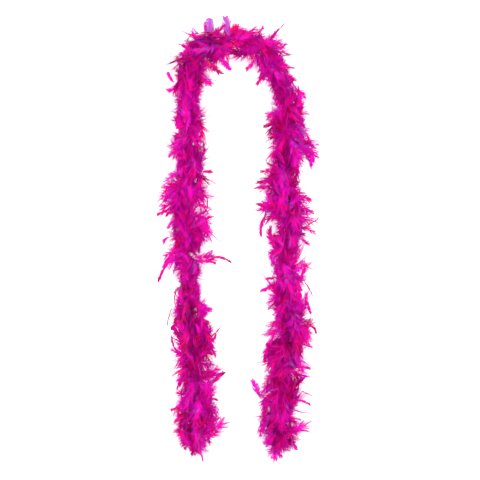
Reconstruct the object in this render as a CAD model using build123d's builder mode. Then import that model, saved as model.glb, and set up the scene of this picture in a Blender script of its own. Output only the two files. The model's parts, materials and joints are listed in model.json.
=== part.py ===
"""A chandelle feather boa lying on a table in a long U.

The boa is one limp two-strand cord, 1.8 m long, with 44 bunches of dyed feathers
tied along it. Each end of the cord is whipped with thread and knotted. The cord
lies in two halves that meet at the neck fold, the middle of the arch, and the
right half can swing about that fold.

+X runs to the right across the two legs, +Y towards the arch and +Z up. The
origin is on the table under the middle of the boa. All sizes are millimetres.
"""

import os
from math import cos, hypot, pi, radians, sin, tan

from build123d import *

# ---- Driving dimensions ----
cord_diameter = 4.0
fold_gap = 3.0  # between the halves of the cord, so that they can turn at the fold
corner_share = 0.45  # how much of its shorter run each arc of the cord takes

bunches_per_half = 22
feathers_per_bunch = 9
first_feather = 270.0  # degrees: the first feather of each bunch points at the table
feather_root = 3.0  # from the middle of the cord to where each flat feather starts
feather_width = 14.0
feather_thickness = 1.6
quill_width = 3.0
lean = 17.0  # degrees that each feather leans along the cord, one way then the other
end_leans = (30.0, 44.0)  # the bunch at each end points past the end of the cord
top_share = 0.95  # how high a bunch stands over the cord, as a share of its reach

collar_diameter = 9.0  # the quills and the thread that binds them to the cord
collar_length = 12.0

binding_diameter = 7.0
binding_length = 10.0
binding_setback = 2.0

knot_diameter = 10.0
knot_offset = 3.6  # from the end of the cord to the middle of the knot
tail_diameter = 2.0
tail_length = 16.0
tail_spread = 14.0  # degrees between each cut strand and the line of the cord

# Where the middle of the cord lies, from the end of the left leg up to the neck
# fold, and from the fold down to the end of the right leg.
left_route = [
    (-90, -426, 14),
    (-84, -394, 22),
    (-86, -355, 27),
    (-82, -310, 30),
    (-88, -265, 31),
    (-92, -222, 30),
    (-94, -180, 32),
    (-98, -135, 30),
    (-100, -92, 29),
    (-98, -51, 30),
    (-104, -10, 32),
    (-98, 31, 31),
    (-106, 75, 32),
    (-105, 118, 31),
    (-100, 159, 30),
    (-104, 204, 31),
    (-100, 247, 30),
    (-102, 290, 31),
    (-105, 326, 32),
    (-98, 361, 31),
    (-80, 390, 32),
    (-54, 405, 33),
    (-22, 411, 32),
]
right_route = [
    (16, 411, 32),
    (49, 400, 33),
    (71, 375, 32),
    (86, 343, 31),
    (96, 306, 30),
    (104, 269, 31),
    (102, 228, 32),
    (109, 188, 31),
    (96, 151, 30),
    (86, 112, 30),
    (96, 73, 31),
    (106, 35, 32),
    (96, -4, 31),
    (92, -41, 30),
    (102, -75, 30),
    (98, -116, 31),
    (108, -155, 32),
    (104, -196, 31),
    (94, -235, 30),
    (90, -275, 30),
    (89, -318, 31),
    (82, -357, 28),
    (83, -394, 22),
    (80, -426, 14),
]
neck_fold = (-3, 411, 32)  # in the straight run between the two routes

# How far the feathers reach from the cord, outwards and inwards across the U, at
# even steps from the end of each leg to the fold. The bunches take turns at being
# full and thin, as the feathers of a real boa do.
left_reaches = [
    (30, 30),
    (37, 40),
    (37, 41),
    (46, 37),
    (36, 34),
    (27, 22),
    (38, 44),
    (46, 33),
    (31, 29),
    (25, 27),
    (29, 28),
    (36, 32),
    (34, 34),
]
right_reaches = [
    (27, 26),
    (38, 45),
    (39, 42),
    (38, 36),
    (32, 40),
    (28, 33),
    (42, 47),
    (28, 38),
    (41, 36),
    (33, 25),
    (27, 31),
    (30, 34),
    (34, 34),
]

# Single long feathers that stand out of a bunch: the half and the number of the
# bunch, counted from the end, then the angle, from outwards through up, and reach.
long_feathers = {
    ("left", 1): (110, 40),
    ("left", 7): (190, 66),
    ("left", 10): (350, 62),
    ("left", 11): (190, 78),
    ("left", 13): (350, 62),
    ("left", 18): (350, 50),
    ("left", 20): (30, 55),
    ("left", 22): (350, 46),
    ("right", 3): (190, 60),
    ("right", 12): (190, 68),
    ("right", 15): (350, 66),
    ("right", 20): (30, 56),
}

cord_radius = cord_diameter / 2


def towards(start, end, distance):
    """The point that lies a distance from start, on the line to end."""
    step = Vector(*end) - Vector(*start)
    return Vector(*start) + step.normalized() * distance


def corner_radii(points):
    """One arc radius for each corner of a route, as large as its two runs allow."""
    radii = []
    for before, corner, after in zip(points, points[1:], points[2:]):
        arriving = Vector(*corner) - Vector(*before)
        leaving = Vector(*after) - Vector(*corner)
        half_turn = radians(arriving.get_angle(leaving)) / 2
        shorter = min(arriving.length, leaving.length)
        radii.append(corner_share * shorter / tan(half_turn))
    return radii


def place_on(line, distance):
    """The plane across the cord at a distance: X outwards, Y up, Z along the cord."""
    along = line.tangent_at(distance, position_mode=PositionMode.LENGTH)
    outwards = Vector(0, 0, 1).cross(along)
    middle = line.position_at(distance, position_mode=PositionMode.LENGTH)
    return Plane(origin=middle, x_dir=outwards, z_dir=along)


def between(reaches, share):
    """The (outward, inward) reach at a share of the way along a list of them."""
    spot = share * (len(reaches) - 1)
    first = min(int(spot), len(reaches) - 2)
    part = spot - first
    pairs = zip(reaches[first], reaches[first + 1])
    return [low + part * (high - low) for low, high in pairs]


def feather_reach(angle, outward, inward, height):
    """A feather's length at an angle: a lopsided ellipse that stands on the table."""
    side = outward if cos(angle) > 0 else inward
    rise = top_share * (outward + inward) / 2 if sin(angle) > 0 else height
    return 1 / hypot(cos(angle) / side, sin(angle) / rise)


def feather_plane(place, angle, leaning):
    """The plane of one flat feather: X along its quill and Z out of its face."""
    across = place.x_dir * cos(angle) + place.y_dir * sin(angle)
    quill = across * cos(leaning) + place.z_dir * sin(leaning)
    face = place.z_dir * cos(leaning) - across * sin(leaning)
    return Plane(origin=place.origin, x_dir=quill, z_dir=face)


def feather_bunch(label, place, reach, leans, long_feather):
    """One bunch: a collar of bound quills with flat feathers spread all round it."""
    with BuildPart() as bunch:
        with BuildSketch(place):
            Circle(collar_diameter / 2)
        extrude(amount=collar_length / 2, both=True)
        for number in range(feathers_per_bunch):
            degrees = (first_feather + 360 / feathers_per_bunch * number) % 360
            angle = radians(degrees)
            length = feather_reach(angle, *reach, place.origin.Z)
            if long_feather and degrees == long_feather[0]:
                length = long_feather[1]
            leaning = radians(leans[number % 2])
            with BuildSketch(feather_plane(place, angle, leaning)):
                with BuildLine():
                    root = (feather_root, quill_width / 2)
                    belly = (length / 2, feather_width / 2)
                    tip = (length, 0)
                    ThreePointArc(root, belly, tip)
                    ThreePointArc(tip, (belly[0], -belly[1]), (root[0], -root[1]))
                    Line((root[0], -root[1]), root)
                make_face()
            extrude(amount=feather_thickness / 2, both=True)
        with BuildSketch(place):
            Circle(cord_radius)
        extrude(amount=collar_length, both=True, mode=Mode.SUBTRACT)
    bunch.part.label = label
    return bunch.part


def boa_half(side, points, reaches):
    """Makes and writes every piece of one half; points run from left to right."""
    end_way = -1 if side == "left" else 1  # which way along the cord its end lies
    radii = corner_radii(points)
    with BuildLine() as route:
        FilletPolyline(*points, radius=radii)
    line = route.wire()

    def from_end(distance):
        return place_on(line, distance if side == "left" else line.length - distance)

    with BuildPart() as core_cord:
        with BuildSketch(Plane(origin=line @ 0, z_dir=line % 0)):
            Circle(cord_radius)
        sweep(path=line)
    core_cord.part.label = f"core_cord_{side}"
    export_step(core_cord.part, f"parts/core_cord_{side}.step")

    with BuildPart() as end_binding:
        with BuildSketch(from_end(binding_setback)):
            Circle(binding_diameter / 2)
            Circle(cord_radius, mode=Mode.SUBTRACT)
        extrude(amount=-end_way * binding_length)
    end_binding.part.label = f"end_binding_{side}"
    export_step(end_binding.part, f"parts/end_binding_{side}.step")

    end_place = from_end(0)
    past_end = end_place.z_dir * end_way
    knot_middle = end_place.origin + past_end * knot_offset
    with BuildPart() as end_knot:
        with Locations(knot_middle):
            Sphere(knot_diameter / 2)
        split(bisect_by=Plane(origin=end_place.origin, z_dir=past_end), keep=Keep.TOP)
        for spread in (-tail_spread, tail_spread):
            turn = radians(spread)
            strand = end_place.x_dir * sin(turn) + past_end * cos(turn)
            with BuildSketch(Plane(origin=knot_middle, z_dir=strand)):
                Circle(tail_diameter / 2)
            extrude(amount=knot_diameter / 2 + tail_length)
    end_knot.part.label = f"end_knot_{side}"
    export_step(end_knot.part, f"parts/end_knot_{side}.step")

    spacing = line.length / bunches_per_half
    for number in range(1, bunches_per_half + 1):
        distance = (number - 1 / 2) * spacing
        leans = [end_way * angle for angle in end_leans] if number == 1 else (-lean, lean)
        label = f"feather_bunch_{side}_{number:02d}"
        bunch = feather_bunch(
            label,
            from_end(distance),
            between(reaches, distance / line.length),
            leans,
            long_feathers.get((side, number)),
        )
        export_step(bunch, f"parts/{label}.step")

    section = pi * cord_radius**2
    print(side, "half of the cord:", round(line.length, 1), "mm long")
    print("  corner radii:", ", ".join(f"{radius:.0f}" for radius in radii))
    print("  volume:", round(core_cord.part.volume), "section x length:", round(section * line.length))
    return line.length


os.makedirs("parts", exist_ok=True)
left_points = left_route + [towards(neck_fold, left_route[-1], fold_gap / 2)]
right_points = [towards(neck_fold, right_route[0], fold_gap / 2)] + right_route
lengths = [
    boa_half("left", left_points, left_reaches),
    boa_half("right", right_points, right_reaches),
]
print("whole cord:", round(sum(lengths) + fold_gap, 1), "mm")
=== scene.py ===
# %% [markdown]
# # A chandelle feather boa, laid on a pale table in a long U
#
# A boa looks like one fluffy sausage, and it is nothing of the kind. Inside is a
# limp cord of two twisted strands. Small bunches of dyed turkey feathers are bound
# to it by their quills, all the way along. The fluff is what hundreds of curved
# quills and many thousands of barbs add up to.
#
# So this lesson builds it the way it is made: the cord first, then one feather,
# then bunches of feathers, bunch after bunch along the cord.

# %% Load the fixed frame
import json
import math

import bpy
import numpy as np
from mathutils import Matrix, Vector


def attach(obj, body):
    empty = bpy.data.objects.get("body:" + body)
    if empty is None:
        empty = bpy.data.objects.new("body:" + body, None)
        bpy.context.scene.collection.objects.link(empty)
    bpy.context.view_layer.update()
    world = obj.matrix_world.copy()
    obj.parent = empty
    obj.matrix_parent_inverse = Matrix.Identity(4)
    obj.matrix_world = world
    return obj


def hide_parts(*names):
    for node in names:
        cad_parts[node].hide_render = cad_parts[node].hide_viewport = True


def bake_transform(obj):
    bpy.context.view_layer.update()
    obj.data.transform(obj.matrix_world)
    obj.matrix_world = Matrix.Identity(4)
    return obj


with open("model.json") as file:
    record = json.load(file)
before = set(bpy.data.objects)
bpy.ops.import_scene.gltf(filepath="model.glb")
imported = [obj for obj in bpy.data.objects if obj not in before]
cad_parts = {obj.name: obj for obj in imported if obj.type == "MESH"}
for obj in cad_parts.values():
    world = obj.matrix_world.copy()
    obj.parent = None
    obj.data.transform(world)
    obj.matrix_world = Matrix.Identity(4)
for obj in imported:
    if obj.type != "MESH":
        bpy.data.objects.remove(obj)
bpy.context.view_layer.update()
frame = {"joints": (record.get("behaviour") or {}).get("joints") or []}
MM = 0.001

# %% [markdown]
# ## The camera
#
# The boa lies flat and the camera hangs straight over it, as over a copy stand.
# A long lens from far off keeps the two legs parallel: a short lens would show the
# arch from one side and the ends from the other.

# %% Camera straight above the boa
VIEW_WIDTH = 0.979  # metres of table that the picture takes in
VIEW_CENTRE = (0.004, 0.002)
CORD_HEIGHT = 0.031  # metres, and the picture takes in that width at this height
CAMERA_HEIGHT = 3.2
SENSOR_WIDTH = 36.0  # mm

camera = bpy.data.objects.new("camera", bpy.data.cameras.new("camera"))
camera.location = (*VIEW_CENTRE, CAMERA_HEIGHT)
camera.data.sensor_width = SENSOR_WIDTH
camera.data.lens = SENSOR_WIDTH * (CAMERA_HEIGHT - CORD_HEIGHT) / VIEW_WIDTH
bpy.context.scene.collection.objects.link(camera)
bpy.context.scene.camera = camera
bpy.context.scene.view_settings.view_transform = "Standard"
print("lens:", round(camera.data.lens), "mm")

# %% [markdown]
# ## The cord
#
# The core of a boa is limp cotton cord. It has no stiffness to speak of, so it lies
# in uneven wanders where it was dropped. Its line is a NURBS spline over a few
# listed points: up the left leg, round the arch and down the right leg. It
# lies about 30 mm above the table, because the feathers under it hold it up, and it
# sinks towards the ends.

# %% The line of the cord
ROUTE_MM = [
    (-90, -426, 14), (-84, -394, 22), (-86, -355, 27), (-82, -310, 30),
    (-88, -265, 31), (-92, -222, 30), (-94, -180, 32), (-98, -135, 30),
    (-100, -92, 29), (-98, -51, 30), (-104, -10, 32), (-98, 31, 31),
    (-106, 75, 32), (-105, 118, 31), (-100, 159, 30), (-104, 204, 31),
    (-100, 247, 30), (-102, 290, 31), (-105, 326, 32), (-98, 361, 31),
    (-80, 390, 32), (-54, 405, 33), (-22, 411, 32), (16, 411, 32),
    (49, 400, 33), (71, 375, 32), (86, 343, 31), (96, 306, 30),
    (104, 269, 31), (102, 228, 32), (109, 188, 31), (96, 151, 30),
    (86, 112, 30), (96, 73, 31), (106, 35, 32), (96, -4, 31),
    (92, -41, 30), (102, -75, 30), (98, -116, 31), (108, -155, 32),
    (104, -196, 31), (94, -235, 30), (90, -275, 30), (89, -318, 31),
    (82, -357, 28), (83, -394, 22), (80, -426, 14),
]

curve = bpy.data.curves.new("cord_line", "CURVE")
curve.dimensions = "3D"
spline = curve.splines.new("NURBS")
spline.points.add(len(ROUTE_MM) - 1)
for point, (x, y, z) in zip(spline.points, ROUTE_MM):
    point.co = (x * MM, y * MM, z * MM, 1)
spline.order_u = 3
spline.use_endpoint_u = True
spline.resolution_u = 12

line_object = bpy.data.objects.new("cord_line", curve)
bpy.context.scene.collection.objects.link(line_object)
line_mesh = bpy.data.meshes.new_from_object(line_object)
cord_points = np.array([v.co for v in line_mesh.vertices])
bpy.data.objects.remove(line_object)
bpy.data.meshes.remove(line_mesh)

steps = np.linalg.norm(np.diff(cord_points, axis=0), axis=1)
cord_distances = np.concatenate([[0], np.cumsum(steps)])
CORD_LENGTH = cord_distances[-1]
print("cord:", round(CORD_LENGTH, 3), "m through", len(cord_points), "points")

# %% [markdown]
# ## Places along the cord
#
# Everything else is placed by its distance along the cord. At each distance three
# directions matter: along the cord, outwards across the U, and up. Interpolating
# the cord's points gives all three at any distance.

# %% A place on the cord: its middle, and along, outwards and up
tangents = np.gradient(cord_points, cord_distances, axis=0)


def unit(vectors):
    """The same directions, each one metre long."""
    return vectors / np.linalg.norm(vectors, axis=-1, keepdims=True)


def place(distance):
    """Middle, along, outwards and up at a distance (or many) from the left end."""
    middle = np.stack([np.interp(distance, cord_distances, cord_points[:, k]) for k in range(3)], -1)
    along = unit(np.stack([np.interp(distance, cord_distances, tangents[:, k]) for k in range(3)], -1))
    outwards = unit(np.cross([0.0, 0.0, 1.0], along))
    return middle, along, outwards, np.cross(along, outwards)


fold = np.array(frame["joints"][0]["pos_m"])
FOLD_DISTANCE = cord_distances[np.argmin(np.linalg.norm(cord_points - fold, axis=1))]
print("the neck fold is", round(FOLD_DISTANCE, 3), "m along the cord")

# %% [markdown]
# ## Meshes from arrays
#
# A boa needs about a million small faces. Adding them one by one in Python would
# take minutes, so every shape here is worked out as a numpy array and handed to
# Blender in one go. Each vertex also carries two numbers that the materials read:
# its tone, which makes one feather darker than the next, and how far it is along
# its barb or its quill.

# %% Turn arrays of vertices and quads into an object


def mesh_object(name, parts, materials):
    """One object; its parts are (vertices, quads, tone, along, material number)."""
    starts = np.cumsum([0] + [len(p[0]) for p in parts])
    vertices = np.concatenate([p[0] for p in parts])
    quads = np.concatenate([p[1] + start for p, start in zip(parts, starts)])
    mesh = bpy.data.meshes.new(name)
    mesh.vertices.add(len(vertices))
    mesh.vertices.foreach_set("co", vertices.astype(np.float32).ravel())
    mesh.loops.add(quads.size)
    mesh.loops.foreach_set("vertex_index", quads.astype(np.int32).ravel())
    mesh.polygons.add(len(quads))
    mesh.polygons.foreach_set("loop_start", np.arange(0, quads.size, 4, dtype=np.int32))
    numbers = np.concatenate([np.full(len(p[1]), p[4]) for p in parts])
    mesh.polygons.foreach_set("material_index", numbers.astype(np.int32))
    mesh.polygons.foreach_set("use_smooth", np.ones(len(quads), bool))
    mesh.update(calc_edges=True)
    for label, column in (("tone", 2), ("along", 3)):
        values = np.concatenate([np.broadcast_to(p[column], len(p[0])) for p in parts])
        attribute = mesh.attributes.new(label, "FLOAT", "POINT")
        attribute.data.foreach_set("value", values.astype(np.float32))
    for material in materials:
        mesh.materials.append(material)
    thing = bpy.data.objects.new(name, mesh)
    bpy.context.scene.collection.objects.link(thing)
    return thing


def grid_quads(strips, rows, columns, closed=False):
    """Quads of strips of rows x columns vertices each, round a tube if closed."""
    across = columns if closed else columns - 1
    s, r, c = np.meshgrid(np.arange(strips), np.arange(rows - 1), np.arange(across), indexing="ij")
    base = s * rows * columns + r * columns
    right = (c + 1) % columns
    quads = np.stack([base + c, base + right, base + columns + right, base + columns + c], -1)
    return quads.reshape(-1, 4)


def tube(points, side, face, radii, sides, tone, along, number):
    """A tube round a line, open at its ends; side and face lie across the line."""
    turn = np.linspace(0, 2 * math.pi, sides, endpoint=False)
    ring = np.cos(turn)[None, :, None] * side[:, None] + np.sin(turn)[None, :, None] * face[:, None]
    vertices = points[:, None] + ring * np.asarray(radii)[:, None, None]
    shares = np.repeat(np.broadcast_to(along, len(points)), sides)
    quads = grid_quads(1, len(points), sides, closed=True)
    return vertices.reshape(-1, 3), quads, tone, shares, number


def ribbons(centres, across, widths, tones, number=0):
    """Strips along many lines: centres (n, rows, 3), across (n, 3) and widths (n, rows)."""
    half = across[:, None] * widths[..., None] / 2
    vertices = np.stack([centres - half, centres + half], 2)
    count, rows = centres.shape[:2]
    tone = np.repeat(tones, rows * 2)
    share = np.tile(np.repeat(np.linspace(0, 1, rows), 2), count)
    return vertices.reshape(-1, 3), grid_quads(count, rows, 2), tone, share, number


print("helpers: mesh_object, grid_quads, tube, ribbons")

# %% [markdown]
# ## Colours and nodes
#
# Colours are easier to choose as the sRGB hex values that a screen shows, and the
# renderer wants them linear, so one function turns one into the other. A second
# function adds a node, sets its values and links its inputs.

# %% Colour and node helpers


def linear(text):
    """An sRGB hex colour as the linear RGBA that the renderer uses."""
    values = [int(text[i : i + 2], 16) / 255 for i in (1, 3, 5)]
    return (*[v / 12.92 if v <= 0.04045 else ((v + 0.055) / 1.055) ** 2.4 for v in values], 1.0)


def add(tree, kind, settings=None, inputs=None):
    """Adds a node; an input is a plain value or the output socket that feeds it."""
    node = tree.nodes.new(kind)
    for name, value in (settings or {}).items():
        setattr(node, name, value)
    for name, value in (inputs or {}).items():
        if isinstance(value, bpy.types.NodeSocket):
            tree.links.new(value, node.inputs[name])
        else:
            node.inputs[name].default_value = value
    return node


def ramp(tree, source, stops):
    """A colour ramp from (place, hex colour) stops."""
    node = add(tree, "ShaderNodeValToRGB", inputs={"Fac": source})
    elements = node.color_ramp.elements
    while len(elements) < len(stops):
        elements.new(0.5)
    for element, (spot, colour) in zip(elements, stops):
        element.position = spot
        element.color = linear(colour)
    return node.outputs["Color"]


def new_material(name):
    """An empty material and its node tree."""
    material = bpy.data.materials.new(name)
    material.use_nodes = True
    material.node_tree.nodes.clear()
    return material, material.node_tree


print("white is", linear("#ffffff"))

# %% [markdown]
# ## Dyed cotton
#
# The cord goes through the same dye bath as the feathers. Cotton is matt and takes
# the dye a little darker, and short loose fibres leave its surface fuzzy. The thread
# that binds everything to it is smooth polyester sewing thread, with a faint shine.
# Real fibres are about 0.02 mm thick, so the fuzz is drawn ten times coarser to show.

# %% Materials of the cord and the thread
FIBRE_MM = 0.2
COTTON_DARK = "#8e0458"
COTTON_LIGHT = "#c80a8c"
THREAD_DARK = "#a00468"
THREAD_LIGHT = "#c40c86"


def spun_material(name, dark, light, grain_mm, roughness, fuzz, bump_mm):
    """Dyed fibre: a fine uneven grain in its colour and its surface, and some fuzz."""
    material, tree = new_material(name)
    spot = add(tree, "ShaderNodeTexCoord").outputs["Object"]
    grain = add(
        tree, "ShaderNodeTexNoise", inputs={"Vector": spot, "Scale": 1 / (grain_mm * MM), "Detail": 3.0}
    ).outputs["Fac"]
    colour = ramp(tree, grain, [(0.3, dark), (0.7, light)])
    relief = add(
        tree, "ShaderNodeBump", inputs={"Height": grain, "Strength": 0.6, "Distance": bump_mm * MM}
    ).outputs["Normal"]
    body = add(
        tree,
        "ShaderNodeBsdfPrincipled",
        inputs={
            "Base Color": colour,
            "Roughness": roughness,
            "IOR": 1.5,
            "Sheen Weight": fuzz,
            "Sheen Roughness": 0.5,
            "Normal": relief,
        },
    )
    add(tree, "ShaderNodeOutputMaterial", inputs={"Surface": body.outputs[0]})
    return material


COTTON = spun_material("dyed_spun_cotton", COTTON_DARK, COTTON_LIGHT, FIBRE_MM, 0.9, 0.3, 0.08)
THREAD = spun_material("dyed_polyester_thread", THREAD_DARK, THREAD_LIGHT, FIBRE_MM, 0.5, 0.05, 0.03)
print("materials:", COTTON.name, THREAD.name)

# %% [markdown]
# ## Two strands twisted into the cord
#
# A round tube would look like plastic. The cord is two strands laid round each other,
# so each strand is a tube of its own that winds round the line of the cord. The cord
# crosses the neck fold, so it joins neither half and keeps its place baked into its mesh.

# %% The strands
STRAND_RADIUS = 1.0 * MM
STRAND_OFFSET = 1.08 * MM  # from the middle of the cord to the middle of a strand
STRAND_SIDES = 8
STRAND_STEP = 1.2 * MM
LAY_LENGTH = 9 * MM  # one full turn of the two strands round each other
EVEN_TONE = 0.5  # cord and thread have no tone of their own


def bend_or_ride(piece, body, bends):
    """Near the fold a piece keeps its place baked into its mesh and joins no half, else it rides its own.
    """
    if bends:
        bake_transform(piece)
    else:
        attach(piece, body)


spots = np.arange(0, CORD_LENGTH, STRAND_STEP)
middle, along, outwards, up = place(spots)
strands = []
for phase in (0, math.pi):
    turn = (2 * math.pi * spots / LAY_LENGTH + phase)[:, None]
    strand_line = middle + (outwards * np.cos(turn) + up * np.sin(turn)) * STRAND_OFFSET
    radii = np.full(len(spots), STRAND_RADIUS)
    strands.append(tube(strand_line, outwards, up, radii, STRAND_SIDES, EVEN_TONE, 0.0, 0))
core_cord = mesh_object("core_cord", strands, [COTTON])
bend_or_ride(core_cord, "left_half", True)
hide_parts("core_cord_left", "core_cord_right")
print("core cord:", len(core_cord.data.polygons), "faces")

# %% [markdown]
# ## Bound and knotted ends
#
# A cut cord unravels, so each end is whipped with thread and then knotted, and its
# two cut strands fray into a small brush. A whipping could be a ribbed sleeve, but
# real turns of thread catch the light and lie a little apart. So one function winds
# a thread round any stretch of the cord, and the bunches use it again.

# %% A winding of thread
THREAD_RADIUS = 0.35 * MM
THREAD_SIDES = 5
STEPS_PER_TURN = 18


def winding(start, end, radius, turns, number=0):
    """Thread wound round the cord from one distance to another."""
    steps = turns * STEPS_PER_TURN
    centre, along, outwards, up = place(np.linspace(start, end, steps))
    turn = np.linspace(0, 2 * math.pi * turns, steps)[:, None]
    radial = outwards * np.cos(turn) + up * np.sin(turn)
    radii = np.full(steps, THREAD_RADIUS)
    return tube(centre + radial * radius, radial, along, radii, THREAD_SIDES, EVEN_TONE, 0.0, number)


print("thread:", round(2 * THREAD_RADIUS / MM, 2), "mm")

# %% [markdown]
# ## The knot and its frayed tails
#
# An overhand knot follows a well-known closed curve, the trefoil: two turns round
# the middle while the strand weaves in and out three times. Sine and cosine give
# that curve directly. The tails are thin ribbons, spread a little at random and
# drooping under their own weight.

# %% Both ends of the cord
KNOT_OFFSET = 4 * MM  # from the end of the cord to the middle of its knot
KNOT_SIZE = 1.05 * MM  # the curve's own unit: it reaches three of them from its middle
KNOT_DEPTH = 1.6
KNOT_STRAND = 1.7 * MM
KNOT_STEPS = 73
KNOT_SIDES = 9
TAIL_LENGTH = 13 * MM
TAIL_DROOP = 3 * MM
FRAYED_FIBRES = 26
FRAYED_WIDTH = 0.5 * MM
FRAYED_ROWS = 6


def knot_parts(rng, distance, end_way):
    """An overhand knot and two frayed tails beyond one end of the cord."""
    end, along, outwards, up = place(distance)
    ahead = along * end_way
    middle = end + ahead * KNOT_OFFSET
    turn = np.linspace(0, 2 * math.pi, KNOT_STEPS)[:, None]
    wide = 2 + np.cos(3 * turn)
    depth = KNOT_DEPTH * np.sin(3 * turn)
    loops = middle + KNOT_SIZE * (
        wide * np.cos(2 * turn) * outwards + wide * np.sin(2 * turn) * up + depth * ahead
    )
    run = unit(np.gradient(loops, axis=0))
    side = unit(np.cross(run, ahead + 1e-3 * up))
    radii = np.full(KNOT_STEPS, KNOT_STRAND)
    parts = [tube(loops, side, np.cross(run, side), radii, KNOT_SIDES, EVEN_TONE, 0.0, 0)]
    x = np.linspace(0, 1, FRAYED_ROWS)[None, :, None]
    for hand in (-1, 1):
        root = middle + ahead * 2 * MM + outwards * hand * 1.2 * MM
        spread = rng.normal(0, 0.22, (FRAYED_FIBRES, 3)) + ahead + outwards * hand * 0.35
        way = unit(spread) * rng.uniform(0.6, 1.0, (FRAYED_FIBRES, 1)) * TAIL_LENGTH
        lines = root + x * way[:, None] + np.array([0, 0, -TAIL_DROOP]) * x**2
        widths = np.full((FRAYED_FIBRES, FRAYED_ROWS), FRAYED_WIDTH)
        parts.append(ribbons(lines, unit(np.cross(way, up)), widths, np.full(FRAYED_FIBRES, EVEN_TONE)))
    return parts


WHIPPING_FROM, WHIPPING_TO = 12 * MM, 2 * MM  # measured back from the end of the cord
for side, distance, end_way in (("left", 0.0, -1), ("right", CORD_LENGTH, 1)):
    rng = np.random.default_rng(11 + end_way)
    inner, outer = distance - end_way * WHIPPING_FROM, distance - end_way * WHIPPING_TO
    layers = [winding(inner, outer, 2.4 * MM, 13), winding(outer, inner, 3.0 * MM, 12)]
    binding = mesh_object(f"end_winding_{side}", layers, [THREAD])
    knot = mesh_object(f"frayed_knot_{side}", knot_parts(rng, distance, end_way), [COTTON])
    finishes = ((binding, "end_binding", "binding_thread"), (knot, "end_knot", "cotton_cord"))
    for piece, node, finish in finishes:
        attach(piece, f"{side}_half")
        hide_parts(f"{node}_{side}")

# %% [markdown]
# ## Dyed turkey feather
#
# Chandelle feathers are turkey body feathers, bleached and dyed. Keratin takes acid
# dye deeply and a little unevenly, so no two feathers match: some are crimson, some
# nearly violet. The vane is thin enough to glow when light comes through it, and its
# barbs give it a silky sheen at grazing angles. Keratin's IOR is about 1.54.
#
# One flat colour would look like paper. A ramp turns each feather's tone into its
# dye, one noise makes the dye patchy and a slower one shifts its hue. Towards their
# outer ends the barbs turn a darker violet, which is painted shade.

# %% The vane: uneven dye, light through it, and sheen
DYE_DEEP = "#a8005c"
DYE_DARK = "#e20079"
DYE_MIDDLE = "#ee00a6"
DYE_LIGHT = "#e010c2"
DYE_PALE = "#b854bc"
# Painted shade: a darker violet that the outer ends of the barbs are mixed towards, for the shaded fringe
# of the boa.
TIP_SHADE_VIOLET = "#800ca0"
TIP_SHADE_FROM, TIP_SHADE_SHARE = 0.45, 0.7  # where along a barb its painted shade starts, and how strong it gets
SHEEN = "#a020f0"
PATCH_MM = 14.0  # how far apart the darker and lighter patches of dye are
HUE_MM = 22.0  # how far apart the redder and bluer patches are
HUE_SHIFT = 0.025  # of a full turn of the colour wheel, to either side
LIGHT_THROUGH = 0.22  # how much of the light goes through the vane


def feather_material():
    """Dyed keratin barbs: uneven dye, painted shade in darker violet at the barb tips, light through them,
    and sheen.
    """
    material, tree = new_material("dyed_turkey_feather")
    tone = add(tree, "ShaderNodeAttribute", {"attribute_name": "tone"}).outputs["Fac"]
    along = add(tree, "ShaderNodeAttribute", {"attribute_name": "along"}).outputs["Fac"]
    spot = add(tree, "ShaderNodeTexCoord").outputs["Object"]
    patches = add(
        tree, "ShaderNodeTexNoise", inputs={"Vector": spot, "Scale": 1 / (PATCH_MM * MM), "Detail": 3.0}
    ).outputs["Fac"]
    uneven = add(
        tree, "ShaderNodeMath", {"operation": "MULTIPLY_ADD"}, {0: patches, 1: 0.5, 2: -0.25}
    ).outputs[0]
    dyed = add(tree, "ShaderNodeMath", {"operation": "ADD"}, {0: tone, 1: uneven}).outputs[0]
    dyes = [(0.0, DYE_DEEP), (0.2, DYE_DARK), (0.5, DYE_MIDDLE), (0.94, DYE_LIGHT), (1.0, DYE_PALE)]
    colour = ramp(tree, dyed, dyes)
    shade = add(
        tree, "ShaderNodeTexNoise", inputs={"Vector": spot, "Scale": 1 / (HUE_MM * MM), "Detail": 2.0}
    ).outputs["Fac"]
    hue_range = {"From Min": 0.3, "From Max": 0.7, "To Min": 0.5 - HUE_SHIFT, "To Max": 0.5 + HUE_SHIFT}
    hue = add(tree, "ShaderNodeMapRange", inputs={"Value": shade, **hue_range}).outputs["Result"]
    colour = add(tree, "ShaderNodeHueSaturation", inputs={"Hue": hue, "Color": colour}).outputs["Color"]
    # The outer ends of the barbs are mixed towards the darker violet: painted shade.
    tip_shade_range = {"From Min": TIP_SHADE_FROM, "From Max": 1.0, "To Max": TIP_SHADE_SHARE}
    tip = add(tree, "ShaderNodeMapRange", inputs={"Value": along, **tip_shade_range}).outputs["Result"]
    tip_shade_mix = {0: tip, 6: colour, 7: linear(TIP_SHADE_VIOLET)}
    colour = add(tree, "ShaderNodeMix", {"data_type": "RGBA"}, tip_shade_mix).outputs[2]
    vane = add(
        tree,
        "ShaderNodeBsdfPrincipled",
        inputs={
            "Base Color": colour,
            "Roughness": 0.55,
            "IOR": 1.54,
            "Specular IOR Level": 0.05,
            "Sheen Weight": 0.12,
            "Sheen Roughness": 0.4,
            "Sheen Tint": linear(SHEEN),
        },
    )
    through = add(tree, "ShaderNodeBsdfTranslucent", inputs={"Color": colour})
    shares = {0: LIGHT_THROUGH, 1: vane.outputs[0], 2: through.outputs[0]}
    mix = add(tree, "ShaderNodeMixShader", inputs=shares)
    add(tree, "ShaderNodeOutputMaterial", inputs={"Surface": mix.outputs[0]})
    return material


FEATHER = feather_material()
print("material:", FEATHER.name)

# %% [markdown]
# ## Dyed quill
#
# The quill is solid keratin, dyed through. It is thicker than the barbs, so it comes
# out darker, like horn, and its hard smooth surface is glossier than the vane.

# %% The quill
QUILL_ROOT = "#70063e"
QUILL_MIDDLE = "#8c0658"
QUILL_TIP = "#6c084e"


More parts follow.
